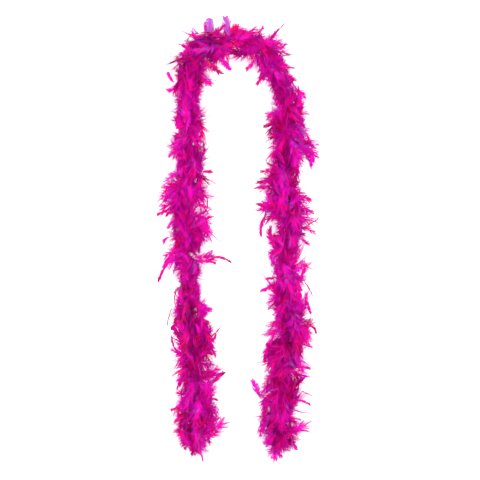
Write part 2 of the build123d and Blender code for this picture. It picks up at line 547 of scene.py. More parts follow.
def quill_material():
    """Dyed horn, a little paler in the middle of its length."""
    material, tree = new_material("dyed_quill_keratin")
    along = add(tree, "ShaderNodeAttribute", {"attribute_name": "along"}).outputs["Fac"]
    colour = ramp(tree, along, [(0.0, QUILL_ROOT), (0.6, QUILL_MIDDLE), (1.0, QUILL_TIP)])
    body = add(
        tree,
        "ShaderNodeBsdfPrincipled",
        inputs={"Base Color": colour, "Roughness": 0.4, "IOR": 1.54, "Specular IOR Level": 0.3},
    )
    add(tree, "ShaderNodeOutputMaterial", inputs={"Surface": body.outputs[0]})
    return material


QUILL = quill_material()
VANE_NUMBER, QUILL_NUMBER, THREAD_NUMBER = 0, 1, 2  # the materials of a bunch, in order
print("material:", QUILL.name)

# %% [markdown]
# ## One quill
#
# A feather is drawn from its quill. In the quill's own frame, forward runs from root
# to tip, sideways is the way its barbs spread and face is out of the vane. The quill
# curls towards or away from its face, sweeps to one side and twists a little, all of
# it gathering towards the thin tip.

# %% The line of a quill
QUILL_STEPS = 14
CURL_POWER = 1.3  # over 1, so that the curl gathers towards the tip
QUILL_WOBBLE = 0.14  # radians
QUILL_TAPER = 0.8
QUILL_SIDES = 4


def quill(rng, root, heading, face, length, curl, sweep, roll, twist):
    """Points and directions along a quill, as arrays with one row for each step."""
    t = np.linspace(0, 1, QUILL_STEPS + 1)
    swing = rng.normal(0, QUILL_WOBBLE)
    wobble = swing * np.sin(2 * math.pi * (t * rng.uniform(0.8, 1.6) + rng.random()))
    pitch = -curl * t**CURL_POWER
    yaw = sweep * t + wobble
    forward = np.stack([np.cos(pitch) * np.cos(yaw), np.cos(pitch) * np.sin(yaw), np.sin(pitch)], 1)
    side = np.stack([-np.sin(yaw), np.cos(yaw), 0 * yaw], 1)
    out = np.cross(forward, side)
    turn = (roll + twist * t)[:, None]
    side, out = side * np.cos(turn) + out * np.sin(turn), out * np.cos(turn) - side * np.sin(turn)
    points = np.concatenate([[[0, 0, 0]], np.cumsum((forward[1:] + forward[:-1]) / 2, axis=0)])
    basis = np.stack([heading, np.cross(face, heading), face])
    return {
        "t": t,
        "length": length,
        "points": root + points * (length / QUILL_STEPS) @ basis,
        "forward": forward @ basis,
        "side": side @ basis,
        "face": out @ basis,
    }


def at(line, key, t):
    """One of the quill's arrays at any shares t of its length."""
    return np.stack([np.interp(t, line["t"], line[key][:, k]) for k in range(3)], -1)


def shaft(line, root_radius, tone):
    """The quill itself: a fine horn-like tube."""
    radii = root_radius * (1 - QUILL_TAPER * line["t"])
    sides = (line["side"], line["face"])
    return [tube(line["points"], *sides, radii, QUILL_SIDES, tone, line["t"], QUILL_NUMBER)]


print("a quill has", QUILL_STEPS, "steps and", QUILL_SIDES, "sides")

# %% [markdown]
# ## Barbs
#
# The vane isn't a sheet. It is two rows of barbs, each a flat tapering strand that
# leaves the quill at an angle and bends towards the tip. Barbs cling to their
# neighbours in small groups, and where two groups part the vane splits. Those splits
# make the ragged edge of a boa. A sheet with barbs painted on it would show its
# straight edge, so each barb is drawn, but two or three times as wide as a real one.

# %% The vane
BARB_ROWS = 5
SPLIT_ODDS = 0.3  # how often one barb parts from the next
BEND_AHEAD = 0.35  # how much a barb bends towards the tip of its feather
BARB_OVERLAP = 1.1
ROOT_WIDTH, TIP_PULL = 0.35, 0.62  # the vane's outline: narrow at its root and towards its tip
WIDENING = 4  # the vane has its full width after a quarter of its length
CLING, CLING_LOOSE = 0.3, 0.35  # how far the tips of a group draw together
PAINTED_ROOT_LIFT, PAINTED_TIP_FALL = 0.14, 0.34  # painted shade: a feather is lighter at its root and darker at its tip
LOW_ANGLE, HIGH_ANGLE = 0.15, 1.5  # radians between a barb and its quill
SHORTENING = 0.45  # the lowest sine that a barb's length is worked out with


def vane(rng, line, start, end, width, tip_shape, slant, barbs, loose, taper, ruffle, tone):
    """Both rows of barbs of a feather's vane, from start to end along the quill."""
    parts = []
    x = np.linspace(0, 1, BARB_ROWS)[None, :, None]
    for hand in (-1, 1):
        t = np.linspace(start, end, barbs)
        share = (t - start) / (end - start)
        outline = np.clip(share * WIDENING, ROOT_WIDTH, 1) * (1 - share**tip_shape * TIP_PULL)
        group = np.cumsum(rng.random(barbs) < SPLIT_ODDS)
        count = group[-1] + 1
        slip = rng.normal(0, 0.10 * ruffle + 0.13 * loose, count)[group]
        slip = slip + rng.normal(0, 0.08 * loose, barbs)
        spread = rng.normal(0, 0.2 * ruffle, count)[group]
        reach = width * outline * (1 + spread + rng.normal(0, 0.05, barbs))
        angle = np.radians(slant[0] + (slant[1] - slant[0]) * share**1.5)
        angle = np.clip(angle + slip, LOW_ANGLE, HIGH_ANGLE)
        forward, side, face = (at(line, key, t) for key in ("forward", "side", "face"))
        way = unit(forward * np.cos(angle)[:, None] + side * hand * np.sin(angle)[:, None])
        length = np.abs(reach) / np.maximum(np.sin(angle), SHORTENING)
        lift = rng.normal(-0.12, 0.2 * ruffle + 0.3 * loose, count)[group]
        lift = lift + rng.normal(0, 0.05 + 0.1 * loose, barbs)
        ahead = BEND_AHEAD * ruffle + rng.normal(0, 0.3 * loose, count)[group]
        bend = forward * ahead[:, None] + face * lift[:, None]
        curve = x * way[:, None] + x**2 * bend[:, None]
        centres = at(line, "points", t)[:, None] + length[:, None, None] * curve
        for number in np.unique(group):
            members = group == number
            pull = centres[members][:, -1].mean(0) - centres[members][:, -1]
            centres[members] += (CLING + CLING_LOOSE * loose) * x**2 * pull[:, None]
        spacing = line["length"] * (end - start) / barbs
        narrowing = (1 - taper * x[0, :, 0] ** 1.2)[None] * np.ones((barbs, 1))
        # Painted shade: the tone falls from the root of the feather to its tip.
        tones = tone + (PAINTED_ROOT_LIFT - PAINTED_TIP_FALL * share) * ruffle + rng.normal(0, 0.07 * ruffle, barbs)
        tones = tones + rng.normal(0, 0.18 * ruffle, count)[group]
        widths = spacing * BARB_OVERLAP * narrowing
        parts.append(ribbons(centres, unit(np.cross(face, way)), widths, tones, VANE_NUMBER))
    return parts


print("a barb has", BARB_ROWS, "rows of vertices")

# %% [markdown]
# ## Down
#
# Below the vane the barbs are long, thin and wavy, and don't cling at all. This down
# points every way and fills the middle of the boa, so that no cord shows. A particle
# system could grow it, but plain ribbons keep it under the same control as the rest.

# %% The down
DOWN_ROWS = 5
DOWN_WIDTH = 0.75 * MM  # far thicker than real down, which wouldn't show
DOWN_TAPER = 0.7
DOWN_BEND = 0.35  # how much a strand bends towards the tip of its feather
DOWN_WAVE = 0.13


def down(rng, line, start, end, reach, strands, tone):
    """Soft wavy barbs in every direction round the lower part of the quill."""
    x = np.linspace(0, 1, DOWN_ROWS)[None, :, None]
    t = rng.uniform(start, end, strands)
    turn = rng.uniform(0, 2 * math.pi, strands)
    angle = np.radians(rng.uniform(35, 80, strands))
    forward, side, face = (at(line, key, t) for key in ("forward", "side", "face"))
    across = side * np.cos(turn)[:, None] + face * np.sin(turn)[:, None]
    way = unit(forward * np.cos(angle)[:, None] + across * np.sin(angle)[:, None])
    other = unit(np.cross(way, forward))
    length = reach * rng.uniform(0.55, 1.1, strands)
    turns = x * rng.uniform(0.5, 1.3, strands)[:, None, None]
    waves = np.sin(2 * math.pi * (turns + rng.random(strands)[:, None, None]))
    waves = waves - waves[:, :1]
    curve = x * way[:, None] + DOWN_BEND * x**2 * forward[:, None]
    curve = curve + DOWN_WAVE * waves * x * other[:, None]
    centres = at(line, "points", t)[:, None] + length[:, None, None] * curve
    widths = DOWN_WIDTH * (1 - DOWN_TAPER * x[0, :, 0])[None] * np.ones((strands, 1))
    tones = tone + rng.normal(0, 0.12, strands)
    return [ribbons(centres, unit(np.cross(way, other)), widths, tones, VANE_NUMBER)]


print("a strand of down is", round(DOWN_WIDTH / MM, 2), "mm wide")

# %% [markdown]
# ## Whole feathers
#
# A chandelle boa mixes feathers of a few sorts. Most are leaf-shaped with a soft
# tip. Some are narrow ribbons cut square, some have lost their barbs and stand out
# as bare dark spikes, and some are all fluff. The table is the limit for all of them:
# a feather that would go through it lies along it. A few would also reach past the
# boa's own width, length and height, and their tips are folded in.

# %% Kinds of feather
KINDS = {
    # vane start and end along the quill, half width mm, tip shape, slant of the barbs
    # at its start and end in degrees, barbs a side, looseness, taper of a barb,
    # reach of the down mm, strands of down, quill radius mm
    "leaf": (0.14, 0.98, 9.0, 2.4, (54, 24), 48, 0.35, 0.76, 12, 22, 0.45),
    "slim": (0.20, 0.99, 5.0, 3.0, (54, 24), 30, 0.15, 0.66, 9, 14, 0.40),
    "ribbon": (0.16, 1.00, 5.0, 12.0, (66, 70), 40, 0.03, 0.25, 8, 8, 0.45),
    "spike": (0.10, 0.96, 1.5, 1.6, (54, 24), 20, 0.10, 0.50, 5, 6, 0.75),
    "plume": (0.10, 0.97, 12.5, 2.0, (54, 24), 52, 0.90, 0.84, 14, 30, 0.30),
}
USUAL_LENGTH = 55 * MM  # a feather of this length has the widths in the table above
TABLE_CLEARANCE = 0.4 * MM
PRESSED_UNDER = 6 * MM  # feathers are pressed closer together below this height
LAYER_SHARE, LAYER_FALL = 0.9, 1.6  # how thick the pressed layers are, and how deep they go
LIMITS_LOW = (-0.165, -0.456)  # metres: left, and towards the ends of the legs
LIMITS_HIGH = (0.165, 0.462)  # metres: right, and over the arch
FOLDED_SHARE = 0.25  # how much of what is past those limits is left
TOP_LIMIT = 0.076  # metres over the table
DOWN_FROM, DOWN_PAST = 0.03, 0.3  # the down starts near the root and runs on into the vane


def lay_on_table(vertices):
    """Presses a feather onto the table in thin layers, and folds far tips in."""
    z = vertices[:, 2]
    thinning = np.exp(np.minimum(z - PRESSED_UNDER, 0) / (LAYER_FALL * PRESSED_UNDER))
    pressed = TABLE_CLEARANCE + PRESSED_UNDER * thinning * LAYER_SHARE
    lifted = np.minimum(np.maximum(z, pressed), PRESSED_UNDER)
    vertices[:, 2] = np.minimum(np.where(z < PRESSED_UNDER, lifted, z), TOP_LIMIT)
    inside = np.clip(vertices[:, :2], LIMITS_LOW, LIMITS_HIGH)
    vertices[:, :2] = inside + (vertices[:, :2] - inside) * FOLDED_SHARE
    return vertices


def feather(
    rng, kind, root, heading, face, length, curl, sweep, roll, twist, tone, size=1.0, loosen=1.0, ruffle=1.0
):
    """All the parts of one feather; a lower loosen or ruffle keeps its vane smooth."""
    start, end, width, tip_shape, slant, barbs, loose, taper, reach, strands, thick = KINDS[kind]
    loose *= loosen
    taper *= 0.5 + 0.5 * loosen
    line = quill(rng, root, heading, face, length, curl, sweep, roll, twist)
    grow = MM * size * (0.6 + 0.4 * length / USUAL_LENGTH)
    parts = shaft(line, thick * grow, tone)
    half = width * grow * rng.uniform(0.8, 1.25)
    parts += vane(rng, line, start, end, half, tip_shape, slant, barbs, loose, taper, ruffle, tone)
    parts += down(rng, line, DOWN_FROM, start + DOWN_PAST, reach * grow, strands, tone - 0.05)
    return [(lay_on_table(part[0]), *part[1:]) for part in parts]


print("kinds of feather:", *KINDS)

# %% [markdown]
# ## How full the boa is
#
# A boa is never an even sausage. Where it has been handled, bunches lie flat along
# the cord, and elsewhere they stand out. Noise could vary it, but this boa has its
# own full and thin places. So each half has a list of reaches at even steps from its
# end to the neck fold: how far the feathers come outwards and inwards across the U.
# Upwards they reach nearly as far, and downwards only to the table.

# %% Reach of the feathers at any distance and angle
LEFT_REACHES_MM = [
    (14, 14), (44, 42), (42, 40), (36, 34), (40, 46), (42, 48), (44, 42), (22, 40), (42, 26),
    (10, 12), (24, 16), (28, 18), (36, 30), (44, 50), (42, 38), (20, 24), (28, 24), (29, 22),
    (32, 22), (38, 18), (18, 34), (6, 42), (12, 48), (24, 44), (20, 36),
]
RIGHT_REACHES_MM = [
    (14, 12), (48, 36), (32, 42), (34, 44), (46, 30), (36, 46), (38, 44), (46, 42), (34, 36),
    (8, 34), (34, 22), (18, 24), (24, 40), (48, 44), (36, 50), (6, 25), (44, 34), (42, 38),
    (34, 46), (20, 24), (8, 12), (8, 48), (8, 42), (8, 36), (18, 34),
]
TOP_SHARE = 0.9  # how far the feathers reach upwards, as a share of their reach sideways
DOWN_REACH_MM = 26


def reach_at(distance, angle):
    """How far the feathers stand out from the cord, in metres."""
    share, table = distance / FOLD_DISTANCE, LEFT_REACHES_MM
    if distance >= FOLD_DISTANCE:
        share, table = (CORD_LENGTH - distance) / (CORD_LENGTH - FOLD_DISTANCE), RIGHT_REACHES_MM
    spots = np.linspace(0, 1, len(table))
    outward, inward = (np.interp(share, spots, column) for column in zip(*table))
    side = outward if math.cos(angle) > 0 else inward
    rise = TOP_SHARE * (outward + inward) / 2 if math.sin(angle) > 0 else DOWN_REACH_MM
    return MM / math.hypot(math.cos(angle) / side, math.sin(angle) / rise)


print("the fullest place reaches", max(map(max, LEFT_REACHES_MM + RIGHT_REACHES_MM)), "mm")

# %% [markdown]
# ## Tufts
#
# Each bunch takes its stretch of cord. Its feathers leave the cord in tufts that
# spiral round it, most of them laid towards the end of their leg and some the other
# way. The feathers of a tuft are much alike, which gives the boa its locks. The lean
# of a quill is given first, and its length is then worked out so that its tip comes
# as far out as the boa is full at the place of the tip: feathers that stand up are
# short, and those that lie along the cord are long.

# %% The tufts of a bunch
TUFTS = 9
TUFT_FEATHERS = 4
TUFT_TURN = 2.4  # radians from one tuft to the next, so that no two line up
BUNCH_TURN = 40  # radians per metre of cord, so that no two bunches line up
LAID_TO_END = 0.66  # the share of the tufts that point to the end of their leg
TOP_LEAN = 0.55  # feathers on top lie flatter than those at the sides
END_LEAN = 1.1  # radians: the least lean near an end of the cord
PALEST, DARKEST = 0.85, 0.15  # tones
KIND_ODDS = {"leaf": 0.32, "slim": 0.16, "ribbon": 0.05, "spike": 0.07, "plume": 0.40}
BARB_REACH = 2 * MM  # the barbs reach this much past the tip of their quill
SHORTEST, LONGEST = 20 * MM, 66 * MM
TIP_ROUNDS = 3  # how often the reach is read again where the tip has come
END_STRETCH = 45 * MM  # near an end of the cord the feathers stand up more
END_REACH = 3 * MM  # how far a feather may reach past the end of the cord
END_MARGIN = 4 * MM
ROOT_OFFSET = 1.6 * MM


def pick_kind(rng):
    """One of the kinds of feather, by its odds."""
    return rng.choice(list(KIND_ODDS), p=list(KIND_ODDS.values()))


def quill_length(rng, spot, way, angle, lean, curl):
    """The length that brings a quill's tip as far out as the boa is full there."""
    slopes = lean - curl * np.linspace(0, 1, 9) ** CURL_POWER
    rise, run = max(np.sin(slopes).mean(), 0.3), np.cos(slopes).mean()
    share, tip = rng.uniform(0.72, 1.12), spot
    for _ in range(TIP_ROUNDS):
        reach = (reach_at(min(max(tip, 0.0), CORD_LENGTH), angle) - BARB_REACH) * share
        length = min(max(reach / rise, SHORTEST), LONGEST)
        tip = spot + way * run * length
    room = END_REACH + (spot if way < 0 else CORD_LENGTH - spot)
    return length * min(1.0, room / max(length * run, 1 * MM))


def tufts(rng, distance, spacing, end_way):
    """The feathers that stand out of one bunch, tuft after tuft."""
    parts = []
    for tuft in range(TUFTS):
        tuft_kind = pick_kind(rng)
        tuft_spot = distance + spacing * ((tuft + rng.random()) / TUFTS - 0.5)
        tuft_angle = TUFT_TURN * tuft + rng.normal(0, 0.3) + distance * BUNCH_TURN
        way = end_way * (1 if rng.random() < LAID_TO_END else -1)
        tuft_lean = rng.uniform(0.7, 1.6)
        tuft_curl = rng.normal(0.9, 0.6)
        tuft_sweep = rng.normal(0, 0.5)
        tuft_tone = rng.normal(0.5, 0.2)
        for _ in range(TUFT_FEATHERS):
            kind = tuft_kind if rng.random() < 0.5 else pick_kind(rng)
            spot = tuft_spot + rng.normal(0, 3 * MM)
            spot = min(max(spot, END_MARGIN), CORD_LENGTH - END_MARGIN)
            angle = tuft_angle + rng.normal(0, 0.28)
            lean = tuft_lean + rng.normal(0, 0.22)
            if math.sin(angle) > 0.5:
                lean *= TOP_LEAN
            curl = tuft_curl + rng.normal(0, 0.35)
            if min(spot, CORD_LENGTH - spot) < END_STRETCH:
                lean, curl = max(lean, END_LEAN), curl * 0.5
            length = quill_length(rng, spot, way, angle, lean, curl)
            middle, along, outwards, up = place(spot)
            radial = outwards * math.cos(angle) + up * math.sin(angle)
            heading = along * way * math.cos(lean) + radial * math.sin(lean)
            face = unit(radial - heading * (radial @ heading) + 1e-6 * up)
            root = middle + radial * ROOT_OFFSET
            # At the sides of the cord the roll turns the flat of the vane to the sky.
            roll = math.pi / 2 * math.cos(angle) + rng.normal(0, 0.5)
            sweep, twist = tuft_sweep + rng.normal(0, 0.3), rng.normal(0, 0.8)
            tone = min(max(tuft_tone + rng.normal(0, 0.1), DARKEST), PALEST)
            parts += feather(rng, kind, root, heading, face, length, curl, sweep, roll, twist, tone)
    return parts


print("a bunch has", TUFTS * TUFT_FEATHERS, "feathers in tufts")

# %% [markdown]
# ## Feathers above and below the cord
#
# Tufts alone leave gaps that the cord and the table show through. Real bunches have
# shorter feathers that lie over them. So each bunch has a few more that lie flat
# above the cord, and more below it, spread out over the table.

# %% The feathers that fill a bunch
TOP_FEATHERS = 5
UNDER_FEATHERS = 8
FILL_MARGIN = 8 * MM
FILL_OFFSET = 3 * MM
FILL_LOW, FILL_HIGH = 26, 42  # mm
FILL_SHORTEST = 14 * MM
FILL_SHARE = 0.85  # of the reach at that place


def filling(rng, distance, spacing):
    """Short feathers that lie flat over and under one bunch."""
    parts = []
    for number in range(TOP_FEATHERS + UNDER_FEATHERS):
        above = number < TOP_FEATHERS
        spot = distance + spacing * (rng.random() - 0.5)
        spot = min(max(spot, FILL_MARGIN), CORD_LENGTH - FILL_MARGIN)
        middle, along, outwards, up = place(spot)
        angle = (1 if above else -1) * math.pi / 2 + rng.normal(0, 0.5)
        radial = outwards * math.cos(angle) + up * math.sin(angle)
        way = along * rng.choice([-1, 1]) + outwards * rng.normal(0, 0.5 if above else 1.2)
        lean = rng.uniform(0.25, 0.6)
        heading = unit(way * math.cos(lean) + radial * math.sin(lean))
        face = unit(radial - heading * (radial @ heading))
        aside = heading @ outwards
        room = FILL_SHARE * reach_at(spot, 0.0 if aside > 0 else math.pi) / max(abs(aside), 0.1)
        kind = rng.choice(["plume", "leaf"])
        length = min(rng.uniform(FILL_LOW, FILL_HIGH) * MM, max(room, FILL_SHORTEST))
        curl, sweep = rng.normal(0.3, 0.3), rng.normal(0, 0.6)
        roll, twist = rng.normal(0, 0.4), rng.normal(0, 0.5)
        tone = rng.uniform(0.25, 0.8)
        root = middle + radial * FILL_OFFSET
        parts += feather(rng, kind, root, heading, face, length, curl, sweep, roll, twist, tone)
    return parts


print("and", TOP_FEATHERS + UNDER_FEATHERS, "that fill it")

# %% [markdown]
# ## The feathers that stand out
#
# What makes this boa itself is the feathers that stand clear of the fluff: a square
# ribbon and a pale leaf on top of the arch, strands that hang into it, tufts and
# bare dark quills down both legs. Random feathers would never fall like that, so
# each of these is given one by one: its root in the fluff, its tip, how far it turns
# to its left on the way, how wide it is and its tone.

# %% The list of placed feathers
STANDING_OUT = [
    # kind, root (x, y) mm, tip (x, y) mm, bow in radians, width, tone
    ("ribbon", (-56, 412), (-57, 458), -0.05, 1.35, 1.1),
    ("leaf", (-20, 412), (-26, 464), 0.1, 0.75, 1.15),
    ("spike", (-82, 416), (-92, 437), 0.1, 0.8, 0.1),
    ("slim", (-71, 418), (-67, 449), 0.3, 0.8, 0.7),
    ("spike", (-84, 418), (-108, 406), 1.3, 0.8, 0.1),
    ("spike", (-80, 422), (-106, 398), 1.5, 0.7, 0.2),
    ("slim", (-98, 369), (-120, 384), 0.5, 1.0, 0.5),
    ("ribbon", (-126, 320), (-145, 347), -0.9, 0.8, 0.5),
    ("plume", (-114, 312), (-153, 306), -0.5, 0.5, 0.5),
    ("spike", (61, 400), (96, 445), -0.2, 1.0, 0.15),
    ("slim", (57, 406), (84, 435), 0.2, 0.8, 0.75),
    ("spike", (86, 375), (114, 381), -0.2, 0.7, 0.1),
    ("slim", (37, 422), (53, 439), 0.6, 0.8, 0.8),
    ("leaf", (-4, 414), (10, 441), -0.5, 0.7, 0.85),
    ("leaf", (-20, 410), (4, 443), -0.9, 0.7, 0.3),
    ("slim", (-63, 373), (-31, 339), 0.5, 1.1, 0.15),
    ("ribbon", (-45, 377), (-12, 345), -0.2, 0.8, 0.7),
    ("ribbon", (-41, 373), (-16, 357), -0.3, 0.5, 0.8),
    ("leaf", (-80, 345), (-51, 316), 0.9, 0.7, 0.7),
    ("spike", (-67, 337), (-41, 328), 1.0, 0.5, 0.5),
    ("slim", (37, 373), (16, 349), -0.4, 1.2, 0.55),
    ("slim", (49, 365), (39, 316), -0.7, 0.8, 0.35),
    ("slim", (57, 361), (51, 328), 0.3, 0.7, 0.3),
    ("leaf", (94, 337), (118, 328), -0.6, 0.4, 0.5),
    ("slim", (106, 312), (141, 292), -0.5, 0.8, 0.5),
    ("spike", (118, 255), (149, 259), -0.2, 0.7, 0.2),
    ("plume", (94, 263), (51, 251), 0.6, 0.6, 0.6),
    ("slim", (73, 243), (51, 233), -0.5, 0.8, 0.1),
    ("plume", (110, 206), (165, 192), -0.4, 0.9, 0.8),
    ("plume", (120, 200), (165, 175), -0.5, 0.9, 0.75),
    ("plume", (126, 190), (157, 157), -0.4, 0.8, 0.6),
    ("plume", (112, 192), (161, 169), -0.8, 0.8, 0.7),
    ("slim", (143, 190), (149, 147), -0.7, 0.8, 0.6),
    ("spike", (-131, 216), (-145, 208), 0.6, 0.7, 0.4),
    ("slim", (-122, 186), (-141, 169), 0.6, 0.8, 0.4),
    ("plume", (-118, 141), (-153, 118), 0.5, 0.7, 0.6),
    ("plume", (-110, 104), (-165, 86), 0.25, 1.0, 0.6),
    ("plume", (-114, 120), (-157, 102), 0.4, 0.9, 0.55),
    ("plume", (-112, 86), (-167, 61), 0.2, 0.9, 0.6),
    ("slim", (-126, 71), (-171, 51), 0.3, 0.8, 0.35),
    ("slim", (-114, 71), (-149, 49), 0.7, 0.8, 0.5),
    ("slim", (-126, 47), (-145, 24), 0.4, 0.7, 0.5),
    ("ribbon", (-98, 171), (-71, 141), 0.15, 1.15, 0.95),
    ("slim", (-78, 141), (-51, 141), 0.2, 0.8, 0.25),
    ("spike", (-80, 98), (-69, 55), -2.0, 0.8, 0.4),
    ("plume", (-86, 51), (-55, 6), -0.7, 0.8, 0.6),
    ("slim", (-135, 10), (-153, -8), 1.0, 0.7, 0.5),
    ("plume", (-104, -22), (-165, -64), 0.6, 0.7, 0.7),
    ("plume", (-108, -27), (-159, -52), 0.6, 0.6, 0.65),
    ("slim", (-143, -45), (-163, -86), 0.5, 0.6, 0.2),
    ("plume", (-108, -14), (-159, -35), 0.3, 0.8, 0.55),
    ("plume", (-90, -33), (-43, -29), 0.1, 0.8, 0.45),
    ("slim", (-65, -31), (-10, -45), -0.5, 0.6, 0.2),
    ("slim", (-69, -35), (-51, -18), 0.9, 0.6, 0.5),
    ("slim", (-65, -39), (-45, -47), -0.4, 0.6, 0.5),
    ("spike", (-114, -92), (-135, -108), 0.8, 0.7, 0.3),
    ("spike", (-135, -137), (-145, -175), 0.3, 0.9, 0.25),
    ("leaf", (-82, -139), (-49, -141), -0.5, 0.85, 0.6),
    ("spike", (-65, -202), (-33, -171), 0.5, 0.8, 0.15),
    ("slim", (-65, -210), (-43, -190), 0.8, 0.6, 0.4),
    ("slim", (-65, -296), (-29, -267), 0.3, 0.8, 0.45),
    ("slim", (-65, -316), (-39, -326), 0.3, 0.7, 0.5),
    ("slim", (-110, -337), (-139, -347), 0.5, 0.7, 0.4),
    ("slim", (-110, -357), (-131, -371), 0.5, 0.7, 0.4),
    ("plume", (-65, -390), (-22, -366), 0.4, 0.8, 0.65),
    ("slim", (-86, -414), (-69, -451), -0.3, 0.6, 0.5),
    ("spike", (82, 145), (57, 161), 0.3, 0.7, 0.2),
    ("slim", (82, 133), (43, 145), 0.5, 0.8, 0.3),
    ("slim", (73, 116), (37, 120), 0.5, 0.8, 0.15),
    ("slim", (69, 104), (31, 108), 0.6, 0.8, 0.35),
    ("slim", (78, 75), (39, 78), -0.4, 0.9, 0.45),
    ("plume", (88, 62), (37, 70), 0.4, 0.8, 0.5),
    ("slim", (65, 63), (45, 6), 0.9, 0.55, 0.3),
    ("spike", (57, 55), (47, 27), 0.6, 0.7, 0.4),
    ("slim", (102, 129), (124, 118), -0.4, 0.7, 0.4),
    ("slim", (118, 88), (151, 84), -0.4, 0.9, 0.5),
    ("slim", (122, 67), (157, 55), -0.6, 0.8, 0.4),
    ("spike", (133, 27), (167, 49), 0.4, 0.9, 0.2),
    ("plume", (126, 27), (163, 16), -0.3, 0.6, 0.5),
    ("slim", (122, 6), (145, -10), -0.6, 0.8, 0.5),
    ("plume", (110, -59), (151, -49), 0.2, 0.75, 0.6),
    ("spike", (133, -80), (153, -114), -0.2, 0.9, 0.05),
    ("leaf", (78, -88), (41, -108), 0.4, 0.6, 0.55),
    ("slim", (82, -75), (55, -78), 0.4, 0.7, 0.3),
    ("slim", (82, -120), (61, -141), 0.4, 0.7, 0.3),
    ("ribbon", (131, -112), (149, -153), -0.6, 0.6, 0.4),
    ("slim", (133, -173), (159, -188), -2.2, 0.7, 0.3),
    ("slim", (131, -210), (153, -218), -0.3, 0.7, 0.3),
    ("slim", (82, -182), (51, -251), 0.55, 0.8, 0.4),
    ("leaf", (45, -322), (27, -278), 0.35, 0.75, 0.9),
    ("spike", (49, -312), (24, -292), -0.7, 0.6, 0.4),
    ("slim", (118, -255), (149, -261), -0.3, 0.7, 0.3),
    ("ribbon", (118, -296), (143, -273), -0.4, 0.75, 0.75),
    ("spike", (126, -304), (155, -318), -0.2, 0.8, 0.2),
    ("slim", (110, -324), (151, -337), -0.9, 0.6, 0.4),
    ("spike", (110, -341), (149, -351), 0.4, 0.9, 0.15),
    ("spike", (53, -353), (37, -396), 0.3, 0.8, 0.45),
    ("plume", (102, -386), (147, -373), -0.3, 1.0, 0.65),
    ("plume", (98, -394), (137, -382), -0.3, 0.9, 0.5),
    ("plume", (78, -414), (69, -451), -0.3, 0.6, 0.6),
    ("plume", (82, -418), (88, -449), 0.3, 0.55, 0.6),
    ("plume", (-4, 406), (4, 375), 0.4, 0.9, 0.45),
    ("plume", (16, 402), (22, 373), -0.4, 0.9, 0.55),
    ("plume", (-20, 402), (-27, 369), 0.4, 0.9, 0.6),
    ("plume", (-33, 400), (-29, 424), 0.4, 1.0, 0.5),
    ("plume", (-27, 404), (-20, 426), -0.4, 1.0, 0.45),
    ("plume", (-80, 384), (-61, 343), 0.3, 1.0, 0.5),
    ("plume", (-88, 373), (-69, 330), 0.3, 1.0, 0.55),
    ("plume", (37, 394), (24, 363), 0.3, 0.8, 0.4),
    ("plume", (-37, 398), (-51, 367), -0.5, 0.9, 0.5),
    ("plume", (-74, 396), (-84, 420), 0.3, 0.6, 0.6),
    ("plume", (-67, 400), (-94, 412), 0.5, 0.6, 0.5),
    ("plume", (-73, -398), (-30, -386), 0.2, 0.8, 0.5),
    ("plume", (-78, -386), (-35, -353), 0.3, 0.8, 0.6),
    ("plume", (-88, -41), (-37, -37), 0.1, 0.6, 0.5),
    ("plume", (-100, 110), (-61, 82), -0.3, 1.0, 0.5),
    ("plume", (-98, 88), (-59, 61), -0.3, 1.0, 0.55),
    ("plume", (-95, 60), (-53, 35), -0.4, 0.9, 0.5),
    ("plume", (-95, 43), (-53, 12), -0.4, 0.8, 0.6),
    ("plume", (-90, -214), (-53, -235), -0.3, 1.0, 0.5),
    ("plume", (-92, -235), (-53, -263), -0.3, 1.0, 0.55),
    ("plume", (-95, -225), (-128, -250), 0.3, 0.9, 0.5),
    ("plume", (-92, -245), (-126, -275), 0.3, 0.9, 0.55),
    ("plume", (-98, -108), (-133, -124), 0.4, 0.6, 0.5),
    ("plume", (-98, -118), (-133, -145), 0.4, 0.8, 0.55),
    ("plume", (104, 78), (151, 55), -0.4, 1.0, 0.5),
    ("plume", (106, 62), (157, 37), -0.4, 1.0, 0.55),
    ("plume", (96, 108), (135, 88), -0.4, 0.9, 0.5),
    ("plume", (98, 96), (139, 73), -0.4, 0.9, 0.45),
    ("plume", (90, 132), (43, 116), 0.4, 1.0, 0.2),
    ("plume", (88, 120), (41, 100), 0.4, 1.0, 0.15),
    ("plume", (96, 74), (41, 62), 0.3, 0.8, 0.25),
    ("plume", (98, 60), (49, 39), 0.4, 0.6, 0.2),
    ("plume", (100, -152), (61, -180), 0.3, 1.0, 0.5),
    ("plume", (102, -168), (59, -198), 0.3, 1.0, 0.5),
    ("plume", (92, -228), (51, -257), 0.3, 0.9, 0.5),
    ("plume", (88, -308), (43, -324), 0.3, 0.7, 0.5),
    ("plume", (92, -262), (137, -278), -0.3, 0.9, 0.55),
    ("plume", (86, -350), (124, -367), -0.3, 1.0, 0.5),
    ("plume", (55, 398), (84, 426), -0.2, 0.7, 0.6),
    ("plume", (64, 390), (92, 408), -0.3, 0.7, 0.45),
    ("plume", (62, 372), (43, 340), -0.3, 0.8, 0.5),
    ("plume", (-74, 372), (-51, 349), 0.3, 0.8, 0.6),
    ("plume", (100, 250), (59, 244), 0.3, 0.8, 0.5),
    ("plume", (108, 262), (63, 228), 0.4, 0.8, 0.55),
]
print(len(STANDING_OUT), "feathers are placed by hand")

# %% [markdown]
# ## From root and tip to a feather
#
# A quill is drawn from its root, so its heading and length come from where the tip
# has to be. A bowed quill is longer than the straight line between its two ends, and
# sets off to one side of it, and the mean cosine and sine of the bow give both.

# %% Make a placed feather
ROOT_HEIGHT = 44 * MM
TIP_HEIGHT = 30 * MM
